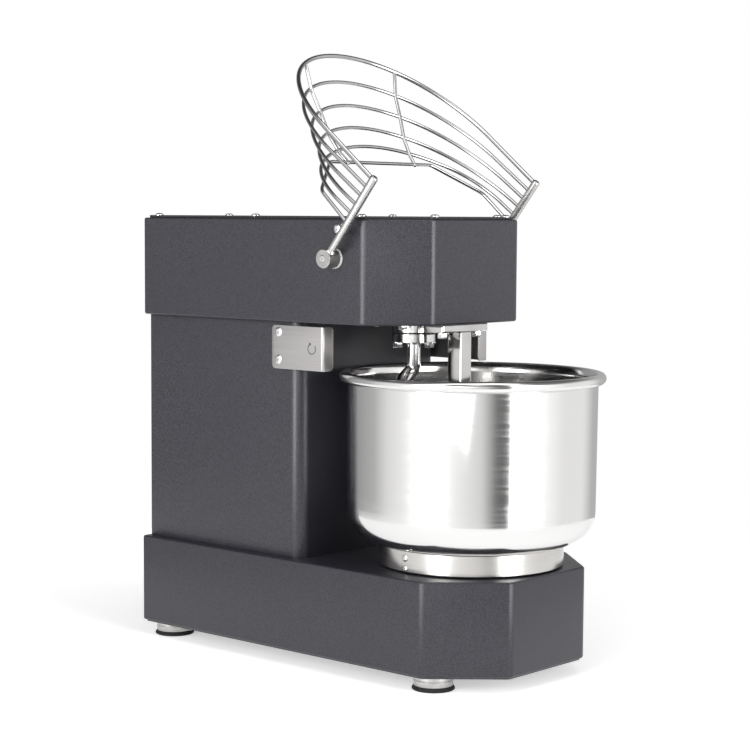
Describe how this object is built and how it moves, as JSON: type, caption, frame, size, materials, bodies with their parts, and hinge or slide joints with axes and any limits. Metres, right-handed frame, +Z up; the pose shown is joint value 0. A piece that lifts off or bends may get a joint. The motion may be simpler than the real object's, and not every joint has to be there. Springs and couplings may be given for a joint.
{
  "type": "spiral dough mixer",
  "caption": "Bench spiral dough mixer with turning steel bowl, spiral hook, breaker bar, hinged wire guard, side plates, and a boxed head, column and base.",
  "frame": {"origin": "on the ground, under the centre of the machine's bounding box", "axes": "+Z up; the bowl and the head's front face -Y; +X is the operator's control side"},
  "size_m": [0.2992, 0.5745, 0.6953],
  "materials": {
    "dark_coat": "fine textured semi-gloss powder coat",
    "inner_sheet": "matt",
    "cover_coat": "satin black",
    "polished_steel": "polished stainless steel",
    "brushed_plate": "brushed stainless steel",
    "tool_steel": "polished stainless steel",
    "guard_wire": "polished stainless wire",
    "bright_fastener": "bright",
    "black_rubber": "matt",
    "cast_housing": "painted casting",
    "machined_steel": "turned",
    "chain_steel": "oiled",
    "green_plastic": "gloss",
    "red_plastic": "gloss",
    "black_plastic": "satin"
  },
  "bodies": {
    "root": {"base_casing": "dark_coat", "base_bottom_plate": "inner_sheet", "bottom_plate_screws": "bright_fastener", "foot_sleeves": "brushed_plate", "foot_pads": "black_rubber", "column_casing": "dark_coat", "back_panel": "dark_coat", "back_panel_screws": "bright_fastener", "control_panel": "brushed_plate", "cable_gland": "black_rubber", "head_casing": "dark_coat", "head_bottom_plate": "inner_sheet", "head_top_cover": "cover_coat", "top_cover_screws": "bright_fastener", "motor_housing": "cast_housing", "motor_mount": "inner_sheet", "motor_bolts": "bright_fastener", "lay_bearing_blocks": "cast_housing", "spiral_bearing_housing": "cast_housing", "spiral_bearings": "machined_steel", "spiral_housing_bolts": "bright_fastener", "bowl_bearing_housing": "cast_housing", "bowl_bearings": "machined_steel", "drive_belt": "black_rubber", "spiral_chain": "chain_steel", "bowl_chain": "chain_steel", "breaker_bar_bracket": "brushed_plate", "breaker_bar": "brushed_plate", "bracket_bolts": "bright_fastener", "side_guard_left": "brushed_plate", "side_guard_right": "brushed_plate", "side_guard_screws": "bright_fastener", "guard_bushes": "inner_sheet", "guard_stop_screws": "bright_fastener", "guard_switch": "red_plastic"},
    "turning_bowl": {"bowl": "polished_steel", "bowl_ring": "polished_steel", "ring_screws": "bright_fastener", "bowl_hub": "machined_steel", "bowl_sprocket": "chain_steel"},
    "spiral": {"spiral_shaft": "tool_steel", "spiral_sprocket": "chain_steel", "spiral_tool": "tool_steel", "flange_gasket": "black_rubber", "flange_bolts": "bright_fastener"},
    "lay_drive": {"lay_shaft": "machined_steel", "lay_pulley": "cast_housing", "lay_spiral_sprocket": "chain_steel", "lay_bowl_sprocket": "chain_steel"},
    "motor_rotor": {"motor_shaft": "machined_steel", "motor_pulley": "cast_housing"},
    "wire_guard": {"guard_wires": "guard_wire", "guard_ribs": "guard_wire", "guard_arms": "guard_wire", "guard_pivot_pins": "bright_fastener", "guard_set_screws": "bright_fastener"},
    "start_push": {"start_button": "green_plastic"},
    "stop_push": {"stop_button": "red_plastic"},
    "timer_dial": {"timer_knob": "black_plastic"}
  },
  "joints": [
    {"name": "bowl_spin", "type": "hinge", "parent": "root", "child": "turning_bowl", "pos_m": [0, -0.13875, 0.147], "axis": [0, 0, 1], "continuous": true},
    {"name": "spiral_spin", "type": "hinge", "parent": "root", "child": "spiral", "pos_m": [0, -0.05275, 0.389], "axis": [0, 0, 1], "continuous": true},
    {"name": "lay_spin", "type": "hinge", "parent": "root", "child": "lay_drive", "pos_m": [0, 0.05625, 0.389], "axis": [0, 0, 1], "continuous": true},
    {"name": "motor_spin", "type": "hinge", "parent": "root", "child": "motor_rotor", "pos_m": [0, 0.16125, 0.389], "axis": [0, 0, 1], "continuous": true},
    {"name": "guard_hinge", "type": "hinge", "parent": "root", "child": "wire_guard", "pos_m": [0, -0.04875, 0.461], "axis": [1, 0, 0], "range_deg": [0, 141.5]},
    {"name": "start_push_slide", "type": "slide", "parent": "root", "child": "start_push", "axis": [-1, 0, 0], "range_m": [0, 0.0025], "stiffness_N_per_m": 600, "springref_m": -0.0008},
    {"name": "stop_push_slide", "type": "slide", "parent": "root", "child": "stop_push", "axis": [-1, 0, 0], "range_m": [0, 0.004], "stiffness_N_per_m": 600, "springref_m": -0.0012},
    {"name": "timer_turn", "type": "hinge", "parent": "root", "child": "timer_dial", "pos_m": [0.12, 0.14325, 0.251], "axis": [1, 0, 0], "range_deg": [0, 300]}
  ],
  "couplings": [
    {"joint": "lay_spin", "follows": "bowl_spin", "ratio": 4.5},
    {"joint": "spiral_spin", "follows": "bowl_spin", "ratio": 2.4545},
    {"joint": "motor_spin", "follows": "bowl_spin", "ratio": 12.6}
  ]
}
